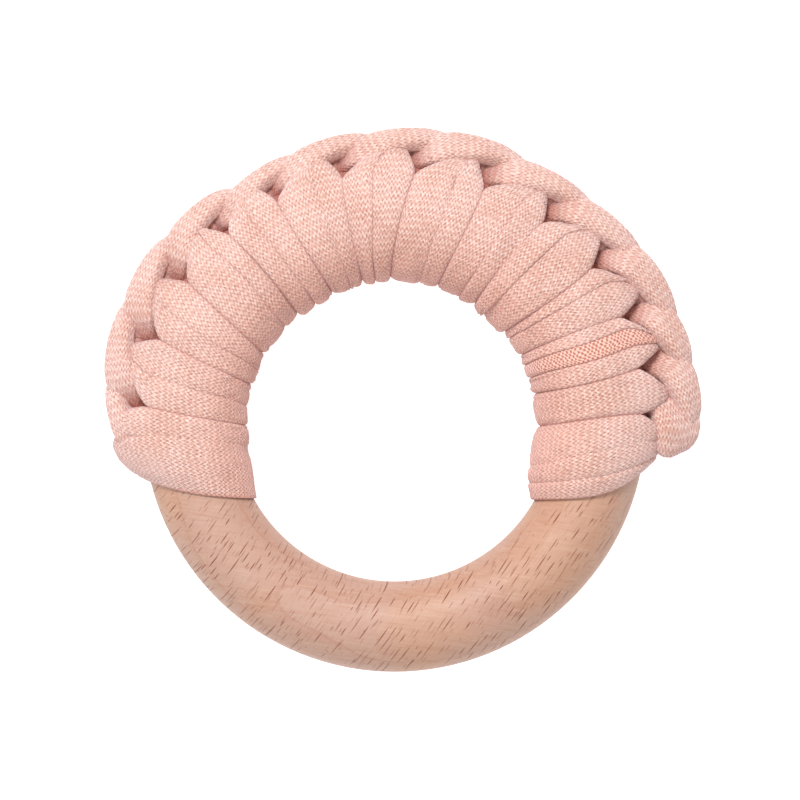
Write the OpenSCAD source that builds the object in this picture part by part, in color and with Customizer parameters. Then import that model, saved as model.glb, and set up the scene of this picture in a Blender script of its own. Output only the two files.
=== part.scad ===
// Teething ring: a beech ring with one length of jersey yarn crocheted over its upper arc.
// The ring lies flat in the XY plane with its axis along +Z and its centre at the origin.
// Angles are measured counterclockwise from +X, seen from +Z. Millimetres and degrees.

/* [Beech ring] */
// Outer diameter of the wooden ring
ring_outer_d = 70; // [60:1:80]
// Diameter of the ring's round section
ring_section_d = 12.6; // [11:0.1:13.5]

/* [Stitches] */
// Angle of the ring where the first stitch begins, at the cover's right end
first_stitch_angle = -9.5; // [-12:0.5:-6]
// Radius of a stitch's bulge, from the middle of the wood's section
stitch_bulge_r = 9; // [8.6:0.1:9.4]
// Gap between the yarn and the wood, which lets the cover slide round
cover_clearance = 0.08; // [0.05:0.01:0.2]

/* [Edge chain] */
// Radius of each of the two strands that lie side by side along the outer edge
chain_strand_r = 2.1; // [1.8:0.1:2.4]
// Distance of each strand's middle from the ring's middle plane
chain_strand_z = 2; // [1.7:0.1:2.3]
// How far a chain link's point reaches back into the link before it
chain_lean = 3.8; // [2:0.1:5]

/* [Ends] */
// Thickness of the flat wrap at each end
end_wrap_t = 1.9; // [1.4:0.1:2.2]
// Angle of the ring where the right end's edge crosses the middle of the wood
start_edge_angle = -21; // [-24:0.5:-18]
// Slope of that edge against the X axis
start_edge_slope = 8; // [0:1:15]
// Angle of the ring where the left end's edge crosses the middle of the wood
finish_edge_angle = 200; // [198:0.5:204]
// Slope of that edge against the X axis
finish_edge_slope = -9.5; // [-15:0.5:0]
// Radius of the starting knot at the cover's right end
knot_r = 3.3; // [3:0.1:3.6]

/* [Hidden] */
$fn = 96;
yarn_pink = [0.93, 0.72, 0.67];
beech = [0.90, 0.74, 0.60];

// The angle that each stitch takes. The work is done by hand, and it is tighter near the start.
stitch_sweeps = [13, 11, 11, 14, 15, 16, 16, 16, 15.5, 14.5, 15, 15, 14.5, 10];
stitch_count = len(stitch_sweeps);

wood_r = ring_section_d / 2;
ring_r = ring_outer_d / 2 - wood_r;
bore_r = wood_r + cover_clearance;
// The stitches stop at this radius, and the edge chain sits on it.
rim_r = ring_r + 7.7;
hole_side_r = ring_r - stitch_bulge_r - 2;
half_height = stitch_bulge_r + 2;
chain_reach = 2 * chain_strand_r + 4;
chain_half_height = chain_strand_z + chain_strand_r + 1;
joint_cut_length = 20;
// A link's point starts this many degrees before its own stitch.
lap_angle = 8;
// The knot's place: degrees before the second stitch, and how far it stands out from rim_r.
knot_back_angle = 5;
knot_out = 2.9;

function two_digits(n) = str(n < 10 ? "0" : "", n);
// Where stitch n begins and ends. Stitches are numbered from the right end.
function stitch_start(n) = n == 1 ? first_stitch_angle : stitch_start(n - 1) + stitch_sweeps[n - 2];
function stitch_end(n) = stitch_start(n) + stitch_sweeps[n - 1];

STITCHES = [for (n = [1 : stitch_count]) str("stitch_", two_digits(n))];
LINKS = [for (n = [2 : stitch_count]) str("chain_link_", two_digits(n))];

// A solid torus round the ring's own middle circle.
module ring_torus(section_r) {
    rotate_extrude()
        translate([ring_r, 0])
            circle(r = section_r);
}

// The space between two radial planes, out to outer_r.
module sector(from_angle, sweep, outer_r) {
    rotate([0, 0, from_angle])
        rotate_extrude(angle = sweep)
            translate([hole_side_r, -half_height])
                square([outer_r - hole_side_r, 2 * half_height]);
}

// Everything above a sloping edge that crosses the middle of the wood at this angle.
module above_edge(angle, slope) {
    translate([ring_r * cos(angle), ring_r * sin(angle), -half_height])
        rotate([0, 0, slope])
            translate([-ring_outer_d / 2, 0, 0])
                cube([ring_outer_d, ring_outer_d, 2 * half_height]);
}

module wooden_ring() {
    color(beech)
        ring_torus(wood_r);
}

// Stitch n: a loop of yarn right round the wood, crowned between its two neighbours.
module stitch(n) {
    color(yarn_pink)
        difference() {
            intersection() {
                sector(stitch_start(n), stitch_sweeps[n - 1], rim_r);
                rotate([0, 0, stitch_start(n) + stitch_sweeps[n - 1] / 2])
                    translate([ring_r, 0, 0])
                        sphere(r = stitch_bulge_r);
            }
            ring_torus(bore_r);
        }
}

// The two strands of the edge chain, with the yarn that lies between them and the stitches.
module chain_band(from_angle, sweep) {
    rotate([0, 0, from_angle])
        rotate_extrude(angle = sweep)
            translate([rim_r, 0]) {
                translate([0, -chain_strand_z])
                    square([chain_strand_r, 2 * chain_strand_z]);
                for (side = [-1, 1])
                    translate([chain_strand_r, side * chain_strand_z])
                        circle(r = chain_strand_r);
            }
}

// Everything beyond the V-shaped joint between two chain links at this angle.
module beyond_joint(angle) {
    rotate([0, 0, angle])
        translate([rim_r - 1, 0, 0])
            rotate([90, 0, 90])
                linear_extrude(height = chain_reach)
                    polygon([
                        [-chain_lean, 0],
                        [0, chain_half_height],
                        [joint_cut_length, chain_half_height],
                        [joint_cut_length, -chain_half_height],
                        [0, -chain_half_height],
                    ]);
}

// Link n of the edge chain: it lies over stitch n, and its point sits in link n - 1.
module chain_link(n) {
    color(yarn_pink)
        difference() {
            intersection() {
                chain_band(stitch_start(n) - lap_angle, lap_angle + stitch_sweeps[n - 1]);
                beyond_joint(stitch_start(n));
            }
            if (n < stitch_count)
                beyond_joint(stitch_end(n));
        }
}

// The flat turn of yarn at one end of the cover, between its stitch and its sloping edge.
module end_wrap(from_angle, sweep, edge_angle, edge_slope) {
    color(yarn_pink)
        difference() {
            intersection() {
                ring_torus(bore_r + end_wrap_t);
                sector(from_angle, sweep, rim_r + 2);
                above_edge(edge_angle, edge_slope);
            }
            ring_torus(bore_r);
        }
}

module start_wrap() {
    sweep = 30;
    end_wrap(stitch_start(1) - sweep, sweep, start_edge_angle, start_edge_slope);
}

module finish_wrap() {
    end_wrap(stitch_end(stitch_count), 30, finish_edge_angle, finish_edge_slope);
}

// The rounded knot where the yarn starts, against the first stitch and the chain's first link.
module start_knot() {
    knot_angle = stitch_start(2) - knot_back_angle;
    color(yarn_pink)
        difference() {
            rotate([0, 0, knot_angle])
                translate([rim_r + knot_out, 0, 0])
                    sphere(r = knot_r);
            translate([0, 0, -half_height])
                cylinder(r = rim_r, h = 2 * half_height);
            beyond_joint(stitch_start(2));
        }
}

wooden_ring();
start_wrap();
for (n = [1 : stitch_count])
    stitch(n);
finish_wrap();
start_knot();
for (n = [2 : stitch_count])
    chain_link(n);
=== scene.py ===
"""Looks for the teething ring: a beech ring with jersey yarn crocheted over its upper arc."""

import math

import bpy
import numpy as np
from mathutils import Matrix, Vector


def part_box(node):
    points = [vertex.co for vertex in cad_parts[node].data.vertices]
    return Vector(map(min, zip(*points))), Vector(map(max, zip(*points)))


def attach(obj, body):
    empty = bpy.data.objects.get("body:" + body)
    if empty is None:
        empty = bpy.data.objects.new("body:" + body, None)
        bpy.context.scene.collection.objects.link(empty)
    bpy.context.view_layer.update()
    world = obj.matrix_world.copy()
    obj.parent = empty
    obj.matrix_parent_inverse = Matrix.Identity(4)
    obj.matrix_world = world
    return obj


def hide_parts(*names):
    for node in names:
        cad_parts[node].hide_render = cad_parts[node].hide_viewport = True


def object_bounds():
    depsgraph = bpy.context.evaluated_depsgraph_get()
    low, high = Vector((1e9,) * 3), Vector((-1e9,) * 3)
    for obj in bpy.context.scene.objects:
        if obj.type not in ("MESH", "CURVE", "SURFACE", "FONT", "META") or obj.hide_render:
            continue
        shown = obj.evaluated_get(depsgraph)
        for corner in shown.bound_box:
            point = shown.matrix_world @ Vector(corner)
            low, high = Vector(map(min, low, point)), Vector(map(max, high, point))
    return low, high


MM = 0.001
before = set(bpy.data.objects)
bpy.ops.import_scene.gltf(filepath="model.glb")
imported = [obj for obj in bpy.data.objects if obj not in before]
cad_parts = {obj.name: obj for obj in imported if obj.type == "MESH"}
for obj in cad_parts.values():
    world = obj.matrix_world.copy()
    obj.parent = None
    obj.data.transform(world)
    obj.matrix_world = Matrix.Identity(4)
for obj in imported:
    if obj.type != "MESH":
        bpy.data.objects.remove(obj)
cad_bounds = [list(corner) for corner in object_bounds()]


# ---------------------------------------------------------------- the frame's own sizes

_, ring_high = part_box("wooden_ring")
WOOD_R = ring_high.z / MM
RING_R = ring_high.x / MM - WOOD_R
FLOOR_Z = cad_bounds[0][2]


def cad_sector(node):
    """The ring angles, in degrees, between which a stitch's CAD solid lies."""
    corners = [v.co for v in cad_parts[node].data.vertices]
    # The bare arc is at the bottom, so the angles are counted from there.
    angles = [(math.degrees(math.atan2(co.y, co.x)) + 90) % 360 - 90 for co in corners]
    return min(angles), max(angles)


STITCHES = sorted(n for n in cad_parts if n.startswith("stitch_"))
LINKS = sorted(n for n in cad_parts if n.startswith("chain_link_"))
SECTORS = [cad_sector(n) for n in STITCHES]
# The ring angle of each joint between two stitches, and of the first and last stitch's ends.
JOINTS = [SECTORS[0][0]] + [high for _, high in SECTORS]


# ---------------------------------------------------------------- small numeric helpers

def smoothstep(low, high, x):
    """A smooth rise from 0 at low to 1 at high."""
    t = np.clip((x - low) / (high - low), 0, 1)
    return t * t * (3 - 2 * t)


def value_noise(x, y, seed, period_x=None):
    """Smooth noise from 0 to 1 on a unit lattice. With period_x it repeats along x."""
    table = np.random.default_rng(seed).random((256, 256))
    x0, y0 = np.floor(x).astype(int), np.floor(y).astype(int)
    fx, fy = x - x0, y - y0
    fx, fy = fx * fx * (3 - 2 * fx), fy * fy * (3 - 2 * fy)
    xa, xb = (x0, x0 + 1) if period_x is None else (x0 % period_x, (x0 + 1) % period_x)
    a = table[xa % 256, y0 % 256] * (1 - fx) + table[xb % 256, y0 % 256] * fx
    b = table[xa % 256, (y0 + 1) % 256] * (1 - fx) + table[xb % 256, (y0 + 1) % 256] * fx
    return a * (1 - fy) + b * fy


def catmull_rom(points, per_span):
    """A smooth curve through the points, per_span samples between each two."""
    p = np.vstack([2 * points[0] - points[1], points, 2 * points[-1] - points[-2]])
    t = np.linspace(0, 1, per_span, endpoint=False)[:, None]
    spans = []
    for i in range(1, len(p) - 2):
        a, b, c, d = p[i - 1], p[i], p[i + 1], p[i + 2]
        second, third = 2 * a - 5 * b + 4 * c - d, 3 * b - a - 3 * c + d
        spans.append(0.5 * (2 * b + (c - a) * t + second * t**2 + third * t**3))
    spans.append(points[-1][None])
    return np.vstack(spans)


def toroidal(ring_angle, section_angle, rho):
    """A point by its angles round the ring and round the wood's section, in degrees.

    rho is its distance from the middle of the section, in mm."""
    theta, phi = np.radians(ring_angle), np.radians(section_angle)
    r = RING_R + rho * np.cos(phi)
    return np.stack([r * np.cos(theta), r * np.sin(theta), rho * np.sin(phi)], -1)


def cylindrical(ring_angle, r, z):
    """A point by its angle round the ring, in degrees, and its radius and height, in mm."""
    theta = np.radians(ring_angle)
    return np.stack([r * np.cos(theta), r * np.sin(theta), z], -1)


# ---------------------------------------------------------------- meshes

def grid_mesh(name, grids):
    """One object from several strands, each a grid of points in mm.

    Rows follow the strand and columns go round it. along is the length of yarn up to each row, purl and
    painted_shade are masks for the material, the second one how much painted shade darkens the yarn, and a
    closed strand runs back into its own start."""
    verts, quads, uvs, masks = [], [], [], []
    base = 0
    for points, along, purl, painted_shade, closed in grids:
        first = base
        rows, cols = points.shape[:2]
        around = np.linalg.norm(np.roll(points, -1, 1) - points, axis=2)
        across = np.concatenate([np.zeros((rows, 1)), np.cumsum(around, 1)], 1)
        # The knit is counted from the strand's crown, so its columns run straight along it.
        across -= across[:, cols // 4][:, None]
        i, j = np.meshgrid(np.arange(rows if closed else rows - 1), np.arange(cols), indexing="ij")
        i, j = i.ravel(), j.ravel()
        i2, j2 = (i + 1) % rows, (j + 1) % cols
        corners = np.stack([i * cols + j, i2 * cols + j, i2 * cols + j2, i * cols + j2], 1)
        quads.append(base + corners)
        uv = np.stack([across[i, j], along[i], across[i2, j], along[i + 1],
                       across[i2, j + 1], along[i + 1], across[i, j + 1], along[i]], 1)
        uvs.append(uv.reshape(-1, 2))
        verts.append(points.reshape(-1, 3))
        painted_shade = np.broadcast_to(painted_shade, (rows, cols))
        masks.append(np.stack([np.full(rows * cols, purl), painted_shade.ravel()], 1))
        base += rows * cols
        if not closed:
            # Each end closes on a point of its own. A face's fourth corner is -1 where it has only three.
            for row, order in ((0, 1), (rows - 1, -1)):
                verts.append(points[row].mean(0)[None])
                masks.append([[purl, painted_shade[row].mean()]])
                ring = (first + row * cols + np.arange(cols))[::order]
                nxt = np.roll(ring, -1)
                quads.append(np.stack([ring, nxt, np.full(cols, base), np.full(cols, -1)], 1))
                side = np.arange(cols)[::order]
                edge_uv = np.stack([across[row, side], np.full(cols, along[row])], 1)
                tip_uv = np.tile([[0.0, along[row]]], (cols, 1))
                uvs.append(np.stack([edge_uv, np.roll(edge_uv, -1, 0), tip_uv], 1).reshape(-1, 2))
                base += 1
    faces = [tuple(face[:3]) if face[3] < 0 else tuple(face) for face in np.vstack(quads).tolist()]
    mesh = bpy.data.meshes.new(name)
    mesh.from_pydata((np.vstack(verts) * MM).tolist(), [], faces)
    layer = mesh.uv_layers.new(name="Knit")
    layer.data.foreach_set("uv", np.vstack(uvs).astype(np.float32).reshape(-1))
    for column, label in enumerate(("purl", "painted_shade")):
        mask = mesh.attributes.new(label, "FLOAT", "POINT")
        mask.data.foreach_set("value", np.vstack(masks)[:, column].astype(np.float32))
    mesh.polygons.foreach_set("use_smooth", [True] * len(mesh.polygons))
    obj = bpy.data.objects.new(name, mesh)
    bpy.context.scene.collection.objects.link(obj)
    return obj


def folds(u, v, seed, depth, period=None):
    """Fine fold lines along a strand, where u runs along it and v across it, in mm. period is u's repeat."""
    def layer(number, length, width, shift=0):
        cells = period and max(1, round(period / length))
        return value_noise(u / length, v / width + shift, seed + number, cells)

    wander = layer(0, 9, 3)
    ridged = 1 - np.abs(2 * layer(1, 14, 0.85, 1.2 * wander) - 1)
    soft = layer(2, 6, 1.9)
    rough = layer(3, 0.55, 0.5)
    ridge_top = 0.20
    lines = np.clip(ridged - (1 - ridge_top), 0, 1) / ridge_top
    return depth * (soft - 0.5 - lines) + 0.08 * (rough - 0.5)


# ---------------------------------------------------------------- the stitches

# The joints between stitches wander, as the yarn was laid by hand. Each row is how far they lie from their
# CAD angles, in degrees: where the gap opens near the rim, on top of the wood, and at the hole.
RIM_SHIFT = [4.5, -2.0, -2.0, -1.3, -1.5, -1.7, -1.5, -1.7, -0.5, 0.3, -0.5, -1.5, -1.7, -0.5, -2.5]
TOP_SHIFT = [0.0, -2.7, -3.5, 0.3, -2.2, 0.1, -1.1, 1.5, 0.5, 0.0, -1.5, 0.8, 0.3, 1.5, -1.0]
HOLE_SHIFT = [-7.4, -5.0, -3.7, 1.5, -1.0, 1.0, 1.0, 4.5, 0.5, -1.5, -1.0, 4.0, 2.5, 4.0, 2.0]
# Where the crease between a stitch's two legs lies across it. The stitches at the ends show only one leg.
CREASE_SHARE = [None, None, 0.60, 0.70, 0.65, 0.38, 0.40, 0.55, 0.40, 0.52, 0.34, 0.53, 0.52, None]
# The thickness of each stitch at the hole, and how far its tip swells at the rim, in mm.
HOLE_THICK = [2.8, 2.85, 2.85, 2.9, 3.4, 3.3, 3.05, 3.0, 3.0, 3.1, 2.6, 2.3, 2.0, 1.9]
TIP_SWELL = [0.5, 1.45, 1.45, 1.45, 1.45, 1.45, 1.45, 1.45, 1.3, 1.45, 1.7, 1.6, 1.45, 1.45]
# The stitch that shows its strand's purl side, counted from 0.
PURL_STITCH = 2
# The thickness of the yarn over the top of the wood, at a stitch's very tip, and hidden under the
# stitches, in mm.
YARN_T, RIM_T, UNDER_T = 2.5, 2.2, 0.8
# The gap between the yarn and the wood, in mm.
CLEARANCE = 0.12
# The section angle where a stitch's tip swells most, and those where its arch begins and is fully narrowed.
TIP_PHI, ARCH_PHI, NARROW_PHI = 24, 52, 16
# The width of one column of knit and the length of one row, in mm, and the rows in one turn round the wood.
WALE, COURSE = 0.55, 0.93
COURSES_ROUND = 59
# The points of a strand along it, round the wood, and across it. PHI is 0 at the rim and 180 at the hole.
PHI_STEPS = 240
RING_STEPS = 52
PHI = np.arange(PHI_STEPS) * 360 / PHI_STEPS
FOLDED = np.minimum(PHI, 360 - PHI)


def joint_angle(k, phi):
    """The ring angle of the joint k between two stitches, at section angle phi."""
    share = (1 - np.cos(np.radians(phi))) / 2
    rim, top, hole = 0.10, 0.50, 0.90
    weights = ((share - top) * (share - hole) / ((rim - top) * (rim - hole)),
               (share - rim) * (share - hole) / ((top - rim) * (top - hole)),
               (share - rim) * (share - top) / ((hole - rim) * (hole - top)))
    return JOINTS[k] + sum(w * shifts[k] for w, shifts in zip(weights, (RIM_SHIFT, TOP_SHIFT, HOLE_SHIFT)))


def band(low, high, thick, seed, tilt=0.0, fold_depth=0.24, square=0.34, purl=0.0, painted_shade=0.0):
    """A flat strand lying round the wood between two ring angles.

    thick gives its thickness for a grid of ring angles, tilt how far its high edge is lifted and its low edge
    sunk, in mm, and a larger square gives it rounder corners."""
    middle, half = (low + high) / 2, (high - low) / 2
    turn = np.arange(RING_STEPS) * 2 * math.pi / RING_STEPS
    # Towards the hole the strand's corners are rounder.
    square = square + 0.14 * smoothstep(90, 160, FOLDED)[:, None]
    across = np.sign(np.cos(turn)) * np.abs(np.cos(turn)) ** square
    up = np.sign(np.sin(turn)) * np.abs(np.sin(turn)) ** square
    angle = middle[:, None] + half[:, None] * across
    section = np.repeat(PHI[:, None], RING_STEPS, 1)
    width = np.radians(half) * (RING_R + (WOOD_R + YARN_T) * np.cos(np.radians(PHI)))
    along = (np.arange(PHI_STEPS + 1) / PHI_STEPS * COURSES_ROUND + seed * 0.37 % 1) * COURSE
    lengths = np.repeat(along[:-1, None], RING_STEPS, 1)
    relief = folds(lengths, width[:, None] * across, seed, fold_depth, along[-1] - along[0])
    relief = (relief * (1 - 0.75 * across**8) + tilt * across) * np.clip(up, 0, 1)
    rho = WOOD_R + CLEARANCE + thick(angle) * (0.5 + 0.5 * up) + relief
    # Its two edges, where it meets its neighbours, get a little painted shade in their colour.
    shade = np.maximum(painted_shade, 0.55 * smoothstep(0.88, 0.985, np.abs(across)))
    return toroidal(angle, section, rho), along, purl, shade, True


def stitch_strands(n):
    """The two legs of stitch n side by side, and the yarn under them."""
    low, high = joint_angle(n, PHI), joint_angle(n + 1, PHI)
    # Towards its tip the stitch narrows to an arch that leans to its lower joint. The first and last ones
    # narrow less on the side where a wrap follows.
    tipward = smoothstep(0, 1, (ARCH_PHI - FOLDED) / (ARCH_PHI - NARROW_PHI))
    first, last = n == 0, n == len(STITCHES) - 1
    low_edge = low + (high - low) * (0.0 if first else 0.16) * tipward
    high_edge = high - (high - low) * (0.12 if last else 0.50) * tipward
    middle, half = (low_edge + high_edge) / 2, (high_edge - low_edge) / 2
    low_lean, high_lean, height_lean, *_, lap_lean = np.random.default_rng(500 + n).uniform(-1, 1, 6)
    softness = 0.18 + 0.34 * (1 - smoothstep(25, 75, FOLDED))
    bulge = TIP_SWELL[n] * np.exp(-(((FOLDED - TIP_PHI) / TIP_PHI) ** 2))
    swell = YARN_T + bulge + 0.15 * height_lean + (HOLE_THICK[n] - YARN_T) * smoothstep(60, 180, FOLDED)
    swell = np.where(FOLDED < TIP_PHI, RIM_T + (swell - RIM_T) * smoothstep(0, TIP_PHI, FOLDED), swell)

    def thick(angle):
        lobe = np.clip(np.abs((angle - middle[:, None]) / half[:, None]), 0, 1)
        return swell[:, None] * np.sqrt(np.clip(1 - softness[:, None] * lobe**3, 0.06, 1))

    # How far its legs lap over the stitches beside it, and over each other.
    outer, inner = half * 0.025, half * (0.05 + 0.02 * lap_lean)
    strands = []
    if CREASE_SHARE[n] is None:
        strands.append(band(low_edge - outer, high_edge + outer, thick, 100 * n, 0.1 * low_lean, 0.22))
    else:
        drift = 0.10 * (2 * value_noise(PHI / 45, np.full_like(PHI, 3.3), 70 + n, 8) - 1)
        crease = middle + half * (2 * CREASE_SHARE[n] - 1 + drift)
        purl_half = half * (0.36 if n == PURL_STITCH else 0.0)
        if n == PURL_STITCH:
            # Between its legs this stitch shows the strand's other side.
            purl_side = (crease - purl_half, crease + purl_half)
            strands.append(band(*purl_side, lambda angle: thick(angle) - 0.05, 230,
                                fold_depth=0.05, square=0.35, purl=1.0))
        low_leg = (low_edge - outer, crease - purl_half + inner)
        high_leg = (crease + purl_half - inner, high_edge + outer)
        strands.append(band(*low_leg, thick, 100 * n, 0.22 * low_lean))
        strands.append(band(*high_leg, thick, 100 * n + 50, 0.22 * high_lean))
    # The yarn under the legs, seen only in the holes between stitches, is painted fully in shade.
    under = (low - 0.4, high + 0.4)
    strands.append(band(*under, lambda angle: UNDER_T, 100 * n + 80, fold_depth=0.02, painted_shade=1.0))
    return strands


def finish_piece(obj, node):
    """Puts a detailed mesh on the cover, in place of its CAD node."""
    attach(obj, "cover")
    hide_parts(node)
    return obj


def build_stitch(n):
    """Stitch n, counted from the cover's right end."""
    return finish_piece(grid_mesh("yarn_" + STITCHES[n], stitch_strands(n)), STITCHES[n])


# ---------------------------------------------------------------- the plain wraps at the two ends

# The thickness of a wrap over the top of the wood, and at its edge, in mm.
WRAP_T, WRAP_EDGE_T = 2.45, 0.45
# The radii between which a wrap's edge rises, from the hole to the rim.
EDGE_HOLE_R, EDGE_RIM_R = 21, 36


def edge_angle(level, rise, power, left):
    """The ring angle of a wrap's lower edge: level below the centre at the hole, rise higher at the rim."""
    r = RING_R + (WOOD_R + 0.6) * np.cos(np.radians(PHI))
    share = np.clip((r - EDGE_HOLE_R) / (EDGE_RIM_R - EDGE_HOLE_R), 0, 1)
    angle = np.degrees(np.arcsin((-level + rise * share**power) / r))
    return 180 - angle if left else angle


def build_wrap(node, joint, edge, hole_thick, bulge, creases, seed):
    """A plain wrap from the last stitch down to the bare wood, in turns that thin out towards its edge."""
    start = joint_angle(joint, PHI)
    reach = edge - start
    rim = bulge * np.exp(-((FOLDED / 42) ** 2))
    full = WRAP_T + (hole_thick - WRAP_T) * smoothstep(60, 180, FOLDED)

    def thick(angle):
        share = np.clip((angle - start[:, None]) / reach[:, None], 0, 1)
        thinned = (full[:, None] - WRAP_EDGE_T) * share**2.2
        return full[:, None] - thinned + rim[:, None] * (1 - share**1.5)

    marks = [-0.12, *creases, 1.0]
    turns = []
    for k in range(len(marks) - 1):
        ends = (start + reach * (marks[k] - 0.05), start + reach * marks[k + 1])
        low, high = np.minimum(*ends), np.maximum(*ends)
        lift = 0.12 * np.sign(reach[0]) * (1 if k % 2 else -1)
        turns.append(band(low, high, thick, seed + 60 * k, lift, 0.16, 0.5))
    return finish_piece(grid_mesh("yarn_" + node, turns), node)


# ---------------------------------------------------------------- swept strands

SWEEP_ROWS, SWEEP_COLS = 110, 48
# How long a strand's rounded end is, in mm, and the power that squares its section.
END_LENGTH = 1.8
SECTION_POWER = 0.62


def sweep_strand(route, half_w, half_t, seed, face, painted_shade=0.0, root_painted_shade=0.0):
    """A strand of yarn along a route of (ring angle, r, z).

    half_w, half_t and face are its half width, its half thickness and how steeply its flat side looks up, in
    degrees, at each point of the route. painted_shade is how much painted shade darkens its yarn, and
    root_painted_shade how much more painted shade it gets where it comes out from between the stitches."""
    route = np.array(route, float)
    knots = np.linspace(0, 1, len(route))
    fine = catmull_rom(route, 24)
    pts = cylindrical(fine[:, 0], fine[:, 1], fine[:, 2])
    travelled = np.concatenate([[0], np.cumsum(np.linalg.norm(np.diff(pts, axis=0), axis=1))])
    length = travelled[-1]
    at = np.linspace(0, 1, SWEEP_ROWS)
    pts = np.stack([np.interp(at, travelled / length, pts[:, i]) for i in range(3)], 1)
    knot_at = np.interp(at, travelled / length, np.linspace(0, 1, len(travelled)))
    w, t, tip_up = (np.interp(knot_at, knots, values) for values in (half_w, half_t, face))
    tangent = np.gradient(pts, axis=0)
    tangent /= np.linalg.norm(tangent, axis=1)[:, None]
    flat = np.hypot(pts[:, 0], pts[:, 1])
    outward = np.stack([pts[:, 0] / flat, pts[:, 1] / flat, np.zeros(SWEEP_ROWS)], 1)
    upward = np.array([0, 0, 1.0])
    normal = outward * np.cos(np.radians(tip_up))[:, None] + upward * np.sin(np.radians(tip_up))[:, None]
    normal -= (normal * tangent).sum(1)[:, None] * tangent
    normal /= np.linalg.norm(normal, axis=1)[:, None]
    side = np.cross(tangent, normal)
    close = np.clip(np.minimum(at, 1 - at) * length / END_LENGTH, 0, 1)
    tip = np.sqrt(np.clip(1 - (1 - close) ** 2, 0.02, 1))
    turn = np.arange(SWEEP_COLS) * 2 * math.pi / SWEEP_COLS
    across = np.sign(np.cos(turn)) * np.abs(np.cos(turn)) ** SECTION_POWER
    up = np.sign(np.sin(turn)) * np.abs(np.sin(turn)) ** SECTION_POWER
    along = at * length
    relief = folds(np.repeat(along[:, None], SWEEP_COLS, 1), np.outer(w, across), seed, 0.19)
    points = (pts[:, None, :]
              + side[:, None, :] * ((w * tip)[:, None] * across)[:, :, None]
              + normal[:, None, :] * ((t * tip)[:, None] * up + relief * up)[:, :, None])
    # Painted shade: the first few mm of a strand, where it comes out from between the stitches, are painted
    # darker.
    shade = painted_shade + root_painted_shade * (1 - smoothstep(3.5, 8.0, along))
    return points, along, 0.0, shade[:, None], False


# The radius of the cover's outer edge at each link's middle, from the first link to the last.
LINK_EDGE_R = [42.3, 42.0, 42.1, 41.3, 40.8, 41.0, 40.4, 40.1, 39.6, 40.9, 41.3, 41.1, 39.6]


def link_strand(n, side, seed):
    """One strand of link n, on the top side or, with side -1, the underside.

    It runs from deep in the upper gap, out past the stitch's tip, over the lower gap and down to the
    middle of the rim."""
    top_gap, low_gap = JOINTS[n + 1], JOINTS[n]
    span = top_gap - low_gap
    edge, next_edge = LINK_EDGE_R[n - 1], LINK_EDGE_R[max(n - 2, 0)]
    route = [
        (top_gap + 4.5, 35.6, 0.2 * side),
        (top_gap + 1.0, 35.8, 0.6 * side),
        (top_gap - 0.14 * span, 36.5, 1.8 * side),
        (top_gap - 0.36 * span, edge - 3.1, 3.3 * side),
        (top_gap - 0.62 * span, edge - 2.2, 3.4 * side),
        (low_gap, 0.75 * edge + 0.25 * next_edge - 1.5, 3.0 * side),
        (low_gap - 0.30 * span, 0.5 * edge + 0.5 * next_edge - 1.45, 1.9 * side),
        (low_gap - 0.58 * span, next_edge - 1.7, 0.3 * side),
    ]
    # A link that reaches further out is a little wider.
    wide = 2.3 + 0.45 * (edge - 40.5) / 2
    half_w = [1.4, 1.6, 2.0, wide, wide - 0.2, wide - 0.75, 1.5, 1.3]
    half_t = [1.0, 1.1, 1.3, 1.6, 1.65, 1.45, 1.3, 1.0]
    face = [45 * side, 50 * side, 55 * side, 55 * side, 52 * side, 48 * side, 35 * side, 15 * side]
    return sweep_strand(route, half_w, half_t, seed, face, root_painted_shade=0.9)


def build_link(n):
    """The link over stitch n.

    Its two strands start in the gap above the stitch and meet below the gap under it."""
    strands = [link_strand(n, side, 900 + 7 * n + side) for side in (1, -1)]
    top_gap, low_gap, edge = JOINTS[n + 1], JOINTS[n], LINK_EDGE_R[n - 1]
    # The yarn that shows between them at the rim, painted partly in shade.
    core = [
        (top_gap + 1, edge - 3.2, 0.0),
        ((top_gap + low_gap) / 2, edge - 3.0, 0.0),
        (low_gap - 1.5, edge - 3.2, 0.0),
    ]
    strands.append(sweep_strand(core, [2.9] * 3, [2.2] * 3, 1200 + n, [0] * 3, painted_shade=0.4))
    return finish_piece(grid_mesh("yarn_" + LINKS[n - 1], strands), LINKS[n - 1])


def build_knot():
    """The short fat loop that ends the chain at the right."""
    strands = []
    for side in (1, -1):
        route = [
            (7.5, 36.4, 0.8 * side),
            (3.2, 38.1, 2.2 * side),
            (-1.0, 38.9, 2.5 * side),
            (-4.0, 38.8, 2.0 * side),
            (-6.6, 38.2, 0.6 * side),
        ]
        half_w = [2.0, 3.4, 3.7, 3.3, 2.5]
        half_t = [1.4, 1.8, 2.1, 2.0, 1.7]
        face = [40 * side, 55 * side, 58 * side, 52 * side, 40 * side]
        strands.append(sweep_strand(route, half_w, half_t, 1500 + side, face))
    # The yarn between the knot's two strands is painted fully in shade.
    core = [(6.0, 37.8, 0.0), (0.0, 38.3, 0.0), (-5.0, 37.6, 0.0)]
    strands.append(sweep_strand(core, [2.4] * 3, [1.8] * 3, 1510, [0] * 3, painted_shade=1.0))
    return finish_piece(grid_mesh("yarn_start_knot", strands), "start_knot")


# ---------------------------------------------------------------- material helpers

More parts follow.
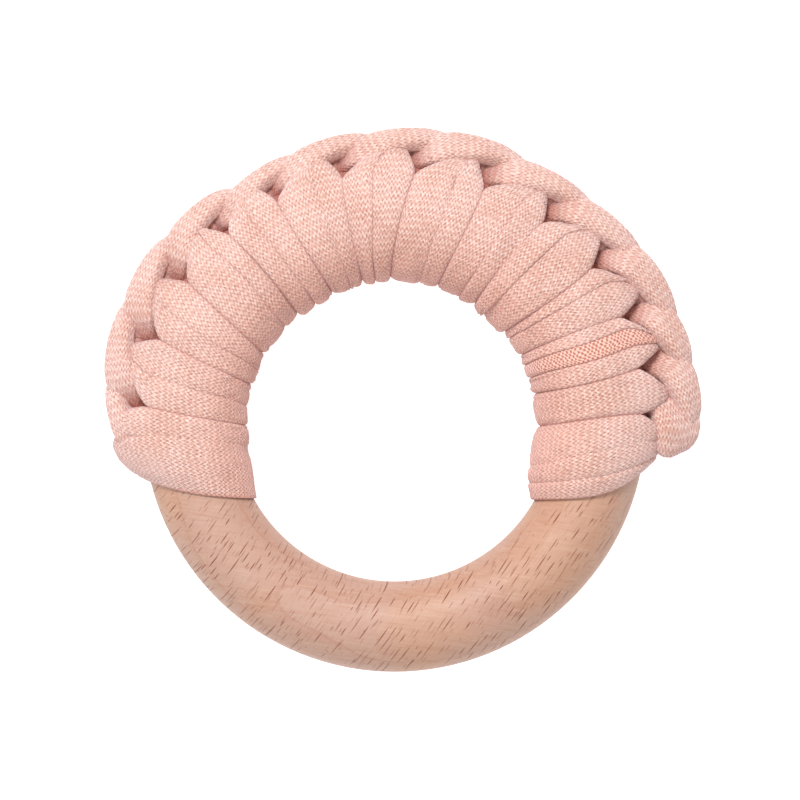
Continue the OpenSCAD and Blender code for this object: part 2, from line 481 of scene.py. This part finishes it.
class Nodes:
    """A short way to write a material's nodes."""

    def __init__(self, name):
        self.material = bpy.data.materials.new(name)
        self.material.use_nodes = True
        self.tree = self.material.node_tree
        self.shader = next(n for n in self.tree.nodes if n.type == "BSDF_PRINCIPLED")

    def feed(self, socket, value):
        if isinstance(value, bpy.types.NodeSocket):
            self.tree.links.new(value, socket)
        else:
            socket.default_value = value

    def node(self, kind, inputs=(), **settings):
        n = self.tree.nodes.new(kind)
        for key, value in settings.items():
            setattr(n, key, value)
        for key, value in dict(inputs).items():
            self.feed(n.inputs[key], value)
        return n

    def math(self, operation, a, b=0.0, c=0.0):
        return self.node("ShaderNodeMath", {0: a, 1: b, 2: c}, operation=operation).outputs[0]

    def dot(self, vector, direction):
        n = self.node("ShaderNodeVectorMath", {0: vector, 1: direction}, operation="DOT_PRODUCT")
        return n.outputs["Value"]

    def combine(self, x, y, z=0.0):
        return self.node("ShaderNodeCombineXYZ", {0: x, 1: y, 2: z}).outputs[0]

    def noise(self, vector, scale, detail=2.0, rough=0.5):
        inputs = {"Vector": vector, "Scale": scale, "Detail": detail, "Roughness": rough}
        return self.node("ShaderNodeTexNoise", inputs).outputs[0]

    def smooth(self, x, low, high, out_low=0.0, out_high=1.0):
        inputs = {0: x, 1: low, 2: high, 3: out_low, 4: out_high}
        return self.node("ShaderNodeMapRange", inputs, interpolation_type="SMOOTHSTEP").outputs[0]

    def mix(self, share, a, b, blend="MIX"):
        n = self.node("ShaderNodeMix", {0: share, 6: a, 7: b}, data_type="RGBA", blend_type=blend)
        return n.outputs[2]


def rgb(r, g, b):
    """A linear colour from sRGB values of 0 to 255."""
    def linear(c):
        c = c / 255
        return c / 12.92 if c <= 0.04045 else ((c + 0.055) / 1.055) ** 2.4
    return (linear(r), linear(g), linear(b), 1.0)


def jersey_material():
    """Fine knitted jersey: rows of narrow V stitches, painted with highlights on their legs and painted shade
    between them and in a dot in each fork.
    """
    m = Nodes("jersey")
    uv = m.node("ShaderNodeUVMap", uv_map="Knit").outputs[0]
    place = m.node("ShaderNodeTexCoord").outputs["Object"]
    parts = m.node("ShaderNodeSeparateXYZ", {0: uv})
    stray = m.node("ShaderNodeTexNoise", {"Vector": place, "Scale": 480.0, "Detail": 3.0})
    stray = m.node("ShaderNodeSeparateColor", {0: stray.outputs["Color"]})
    across = m.math("DIVIDE", m.math("MULTIPLY_ADD", stray.outputs[0], 0.9, parts.outputs[0]), WALE)
    along = m.math("DIVIDE", m.math("MULTIPLY_ADD", stray.outputs[1], 1.1, parts.outputs[1]), COURSE)
    slack = m.node("ShaderNodeTexWhiteNoise", {"W": m.math("FLOOR", across)}, noise_dimensions="1D")
    along = m.math("MULTIPLY_ADD", slack.outputs["Value"], 0.22, along)
    column = m.math("COSINE", m.math("MULTIPLY", across, 2 * math.pi))
    row = m.math("COSINE", m.math("MULTIPLY", along, 2 * math.pi))
    fork = m.math("MULTIPLY", column, row)
    slope = m.math("ABSOLUTE", m.math("SUBTRACT", m.math("FRACT", across), 0.5))
    leg = m.math("COSINE", m.math("MULTIPLY", m.math("ADD", along, slope), 2 * math.pi))
    uneven = m.noise(place, 1500.0, 2.0, 0.7)
    strength = m.smooth(uneven, 0.36, 0.62, 0.1, 1.0)
    dot = m.math("MULTIPLY", m.smooth(fork, 0.35, 1.0), strength)
    fuzz = m.noise(place, 4500.0, 3.0, 0.75)
    light = m.math("MULTIPLY_ADD", leg, 0.28, 0.48)
    light = m.math("MULTIPLY_ADD", m.math("SUBTRACT", fuzz, 0.5), 1.9, light)
    light = m.math("MULTIPLY_ADD", m.math("MULTIPLY", fork, strength), -0.16, light)
    worn = m.noise(place, 170.0, 3.0, 0.6)
    base = m.mix(m.smooth(worn, 0.38, 0.68), rgb(225, 186, 175), rgb(214, 170, 156))
    # Painted light on the knit: the dips between the legs are painted darker as shade, their crests near
    # white as a painted highlight, and each fork gets a dot of painted shade.
    colour = m.mix(m.smooth(light, 0.0, 0.6), m.mix(0.5, base, rgb(196, 130, 114)), base)
    colour = m.mix(m.smooth(light, 0.6, 1.05, 0.0, 0.8), colour, rgb(252, 230, 220))
    colour = m.mix(m.math("MULTIPLY", dot, 0.55), colour, rgb(172, 98, 80))
    # Round the hole the yarn is painted warmer and a little darker: a painted shade for the cover's inner
    # slopes.
    spot = m.node("ShaderNodeSeparateXYZ", {0: place})
    flat = m.combine(spot.outputs[0], spot.outputs[1])
    from_centre = m.node("ShaderNodeVectorMath", {0: flat}, operation="LENGTH").outputs["Value"]
    hole_shade_falloff = m.smooth(m.math("MULTIPLY_ADD", worn, 0.006, from_centre), 0.021, 0.033)
    hole_shade_colour = m.mix(1.0, colour, rgb(255, 216, 194), "MULTIPLY")
    colour = m.mix(m.math("MULTIPLY_ADD", hole_shade_falloff, -0.5, 0.5), colour, hole_shade_colour)
    # The purl side: coarser and darker, in rows of short bars.
    purl = m.node("ShaderNodeAttribute", attribute_name="purl").outputs["Fac"]
    bar = m.math("COSINE", m.math("MULTIPLY", across, 2 * math.pi * 0.72))
    notch = m.math("COSINE", m.math("MULTIPLY", along, 2 * math.pi * 1.5))
    rough_side = m.math("MULTIPLY_ADD", m.math("MULTIPLY", bar, notch), 0.5, 0.5)
    rough_side = m.math("MULTIPLY_ADD", m.math("SUBTRACT", fuzz, 0.5), 0.6, rough_side)
    purl_colour = m.mix(m.smooth(rough_side, 0.15, 0.8), rgb(180, 110, 93), rgb(238, 196, 181))
    colour = m.mix(purl, colour, purl_colour)
    # Painted shade: deep between the stitches, along the strands' edges and where the link strands come out,
    # the yarn is painted darker and redder.
    painted_shade = m.node("ShaderNodeAttribute", attribute_name="painted_shade").outputs["Fac"]
    colour = m.mix(m.math("MULTIPLY", painted_shade, 0.8), colour, rgb(186, 99, 78))
    m.feed(m.shader.inputs["Base Color"], colour)
    m.shader.inputs["Roughness"].default_value = 0.95
    m.shader.inputs["Specular IOR Level"].default_value = 0.1
    m.shader.inputs["Sheen Weight"].default_value = 0.5
    m.shader.inputs["Sheen Roughness"].default_value = 0.45
    m.shader.inputs["Sheen Tint"].default_value = rgb(250, 236, 246)
    height = m.math("SUBTRACT", light, dot)
    height = m.math("MULTIPLY_ADD", m.math("SUBTRACT", rough_side, height), purl, height)
    bump = m.node("ShaderNodeBump", {"Height": height, "Strength": 0.8, "Distance": 0.00012})
    m.feed(m.shader.inputs["Normal"], bump.outputs[0])
    return m.material


def beech_material():
    """Beech: faint growth layers, fine fibres and the short dark flecks of its rays."""
    m = Nodes("beech")
    # The patterns are measured in mm, and Blender in m.
    per_metre = 1 / MM
    coordinates = m.node("ShaderNodeTexCoord")
    place = coordinates.outputs["Object"]
    grain, tilt = math.radians(55), math.radians(6)
    fibre = (math.cos(grain), math.sin(grain), 0.0)
    tangential = (-math.sin(grain) * math.cos(tilt), math.cos(grain) * math.cos(tilt), math.sin(tilt))
    radial = tuple(np.cross(fibre, tangential))
    axes = (fibre, tangential, radial)
    along, across, layer = (m.math("MULTIPLY", m.dot(place, d), per_metre) for d in axes)
    colour = rgb(185, 149, 132)
    # Growth layers: broad soft bands with a thin darker line at each boundary.
    drift_place = m.combine(
        m.math("MULTIPLY", along, 0.02), m.math("MULTIPLY", across, 0.05), m.math("MULTIPLY", layer, 0.1))
    drift = m.noise(drift_place, 1.0, 2.0)
    rings = m.math("ADD", m.math("DIVIDE", layer, 2.6), m.math("MULTIPLY", drift, 1.2))
    saw = m.math("FRACT", rings)
    colour = m.mix(m.smooth(saw, 0.55, 0.98, 0.0, 0.30), colour, rgb(180, 136, 116))
    colour = m.mix(m.smooth(saw, 0.90, 0.97, 0.0, 0.22), colour, rgb(160, 108, 86))
    blotch = m.noise(place, 60.0, 2.0)
    colour = m.mix(m.smooth(blotch, 0.45, 0.66, 0.0, 0.5), colour, rgb(190, 144, 114))
    fine_place = m.combine(
        m.math("MULTIPLY", along, 0.35), m.math("MULTIPLY", across, 6.0), m.math("MULTIPLY", layer, 2.0))
    fine = m.noise(fine_place, 1.0, 3.0, 0.6)
    colour = m.mix(m.smooth(fine, 0.42, 0.78, 0.0, 0.55), colour, rgb(172, 126, 104))
    # Fine wavy lines where the ring's surface cuts across the growth layers.
    lie = math.radians(-8)
    ripple_axes = ((math.cos(lie), math.sin(lie), 0.0), (-math.sin(lie), math.cos(lie), 0.0))
    ripple_x, ripple_y = (m.math("MULTIPLY", m.dot(place, d), per_metre) for d in ripple_axes)
    ripple_place = m.combine(
        m.math("MULTIPLY", ripple_x, 0.16), m.math("MULTIPLY", ripple_y, 2.9), m.math("MULTIPLY", layer, 0.6))
    ripple = m.noise(ripple_place, 1.0, 3.0, 0.65)
    colour = m.mix(m.smooth(ripple, 0.50, 0.72, 0.0, 0.36), colour, rgb(170, 116, 88))
    colour = m.mix(m.smooth(ripple, 0.46, 0.28, 0.0, 0.22), colour, rgb(212, 178, 158))
    # The flecks, long and short. Each cell of a stretched pattern has one, and a share of the cells show it.
    dark = 0.0
    for length, width, pitch_l, pitch_t, share, seed, strength in (
        (3.3, 0.17, 3.6, 0.80, 0.52, 0.0, 0.95),
        (1.7, 0.12, 2.2, 0.55, 0.38, 37.0, 0.60),
    ):
        cell = m.combine(
            m.math("ADD", m.math("DIVIDE", along, pitch_l), seed),
            m.math("DIVIDE", across, pitch_t),
            m.math("DIVIDE", layer, 5.0),
        )
        voronoi = m.node("ShaderNodeTexVoronoi", {"Vector": cell, "Scale": 1.0, "Randomness": 0.9})
        ends = {0: cell, 1: voronoi.outputs["Position"]}
        offset = m.node("ShaderNodeVectorMath", ends, operation="SUBTRACT").outputs[0]
        parts = m.node("ShaderNodeSeparateXYZ", {0: offset})
        chance = m.node("ShaderNodeSeparateColor", {0: voronoi.outputs["Color"]})
        size = m.math("MULTIPLY_ADD", chance.outputs[0], 0.9, 0.25)
        x = m.math("DIVIDE", m.math("MULTIPLY", parts.outputs[0], 2 * pitch_l / length), size)
        y = m.math("MULTIPLY", parts.outputs[1], 2 * pitch_t / width)
        away = m.math("ADD", m.math("POWER", m.math("ABSOLUTE", x), 2.0), m.math("ABSOLUTE", y))
        mark = m.smooth(away, 1.3, 0.5)
        mark = m.math("MULTIPLY", mark, m.math("LESS_THAN", chance.outputs[1], share))
        mark = m.math("MULTIPLY", mark, m.math("MULTIPLY_ADD", chance.outputs[2], 0.5, 0.5))
        mark = m.math("MULTIPLY", mark, strength)
        dark = m.math("MAXIMUM", dark, mark)
    # Where the surface is cut along the rays, they show as faint patches instead of sharp flecks.
    facing = m.math("ABSOLUTE", m.dot(coordinates.outputs["Normal"], tangential))
    dark = m.math("MULTIPLY", dark, m.smooth(facing, 0.72, 0.96, 1.0, 0.15))
    colour = m.mix(dark, colour, rgb(122, 58, 34))
    m.feed(m.shader.inputs["Base Color"], colour)
    m.feed(m.shader.inputs["Roughness"], m.math("MULTIPLY_ADD", fine, 0.15, 0.42))
    m.shader.inputs["Specular IOR Level"].default_value = 0.35
    height = m.math("SUBTRACT", m.math("MULTIPLY", fine, -0.3), m.math("MULTIPLY", dark, 0.8))
    bump = m.node("ShaderNodeBump", {"Height": height, "Strength": 0.5, "Distance": 0.00005})
    m.feed(m.shader.inputs["Normal"], bump.outputs[0])
    return m.material


# ---------------------------------------------------------------- camera, light and floor

def camera():
    """Straight down on the ring, from far enough for a long lens."""
    distance = 1.2
    picture_width = 0.11133
    data = bpy.data.cameras.new("camera")
    data.sensor_width = 36
    data.lens = data.sensor_width * distance / picture_width
    data.clip_end = 10
    cam = bpy.data.objects.new("camera", data)
    # The ring's centre stands a little left of the picture's middle, and below it.
    cam.location = (0.000765, 0.002825, distance)
    bpy.context.scene.collection.objects.link(cam)
    bpy.context.scene.camera = cam


def area_light(name, place, size, power):
    """A round white lamp that shines on the ring's centre."""
    data = bpy.data.lights.new(name, "AREA")
    data.shape = "DISK"
    data.size = size
    data.energy = power
    light = bpy.data.objects.new(name, data)
    light.location = place
    direction = -light.location.normalized()
    light.rotation_euler = direction.to_track_quat("-Z", "Y").to_euler()
    bpy.context.scene.collection.objects.link(light)


def studio():
    """A white surround, a key light from above and beyond the ring, a weaker fill light and a pale floor."""
    world = bpy.data.worlds.new("world")
    bpy.context.scene.world = world
    world.use_nodes = True
    background = world.node_tree.nodes["Background"]
    background.inputs[0].default_value = (1, 1, 1, 1)
    background.inputs[1].default_value = 0.55
    area_light("key", (-0.12, 0.50, 0.75), 0.3, 6.8)
    area_light("fill", (-0.2, -0.3, 0.8), 0.6, 2.4)
    mesh = bpy.data.meshes.new("floor")
    reach = 3.0
    z = FLOOR_Z - 0.0002
    corners = [(-reach, -reach, z), (reach, -reach, z), (reach, reach, z), (-reach, reach, z)]
    mesh.from_pydata(corners, [], [(0, 1, 2, 3)])
    floor = bpy.data.objects.new("floor", mesh)
    bpy.context.scene.collection.objects.link(floor)
    m = Nodes("floor")
    m.shader.inputs["Base Color"].default_value = (0.6, 0.6, 0.6, 1)
    m.shader.inputs["Roughness"].default_value = 0.9
    m.shader.inputs["Emission Color"].default_value = (1, 1, 1, 1)
    m.shader.inputs["Emission Strength"].default_value = 0.75
    mesh.materials.append(m.material)
    bpy.context.scene.view_settings.view_transform = "Standard"


# ---------------------------------------------------------------- the build

camera()
studio()
jersey = jersey_material()
beech = beech_material()
yarn = [build_stitch(n) for n in range(len(STITCHES))]
yarn += [build_link(n) for n in range(1, len(STITCHES))]
start_edge = edge_angle(10.9, 5.0, 4.5, left=False)
finish_edge = edge_angle(10.7, 2.4, 2.6, left=True)
yarn.append(build_wrap("start_wrap", 0, start_edge, 2.45, bulge=0.0, creases=[0.55], seed=2000))
yarn.append(build_wrap("finish_wrap", len(STITCHES), finish_edge, 1.6, bulge=1.9, creases=[], seed=2300))
yarn.append(build_knot())
for obj in yarn:
    obj.data.materials.append(jersey)

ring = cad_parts["wooden_ring"]
ring.material_slots[0].link = "OBJECT"
ring.material_slots[0].material = beech
